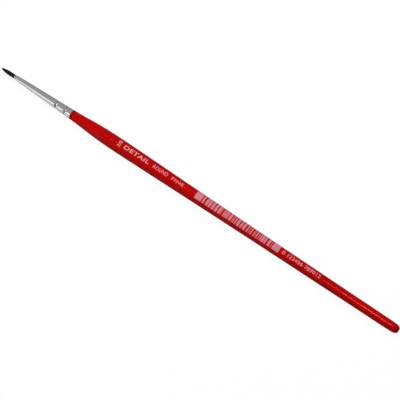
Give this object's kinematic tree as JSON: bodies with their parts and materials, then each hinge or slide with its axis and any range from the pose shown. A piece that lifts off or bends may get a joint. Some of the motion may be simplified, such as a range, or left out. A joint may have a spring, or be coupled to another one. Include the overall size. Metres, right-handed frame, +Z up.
{
  "type": "fine detail brush",
  "caption": "Fine detail paint brush lying on its side: red lacquered wooden handle, tapered crimped metal ferrule and a short pointed dark tuft.",
  "frame": {"origin": "under the middle of the brush, on the surface it lies on", "axes": "+X along the brush from the hair point to the butt, +Z up"},
  "size_m": [0.1774, 0.0056, 0.0055],
  "materials": {
    "birch": "raw turned birch",
    "red_lacquer": "high gloss dipped lacquer, bright red",
    "ferrule_metal": "drawn and bright polished",
    "tenon_glue": "dried wood glue",
    "root_resin": "hard amber resin",
    "binding_thread": "twisted thread",
    "dark_hair": "fine dark filament, brown at the root and black at the point",
    "print_ink": "pale printed ink film on the lacquer"
  },
  "bodies": {
    "root": {"handle_wood": "birch", "handle_lacquer": "red_lacquer", "ferrule": "ferrule_metal", "tenon_glue": "tenon_glue", "resin_plug": "root_resin", "binding_thread": "binding_thread", "hair_core": "dark_hair", "hair_inner_1": "dark_hair", "hair_inner_2": "dark_hair", "hair_inner_3": "dark_hair", "hair_inner_4": "dark_hair", "hair_inner_5": "dark_hair", "hair_inner_6": "dark_hair", "hair_outer_01": "dark_hair", "hair_outer_02": "dark_hair", "hair_outer_03": "dark_hair", "hair_outer_04": "dark_hair", "hair_outer_05": "dark_hair", "hair_outer_06": "dark_hair", "hair_outer_07": "dark_hair", "hair_outer_08": "dark_hair", "hair_outer_09": "dark_hair", "hair_outer_10": "dark_hair", "hair_outer_11": "dark_hair", "hair_outer_12": "dark_hair"}
  },
  "joints": []
}
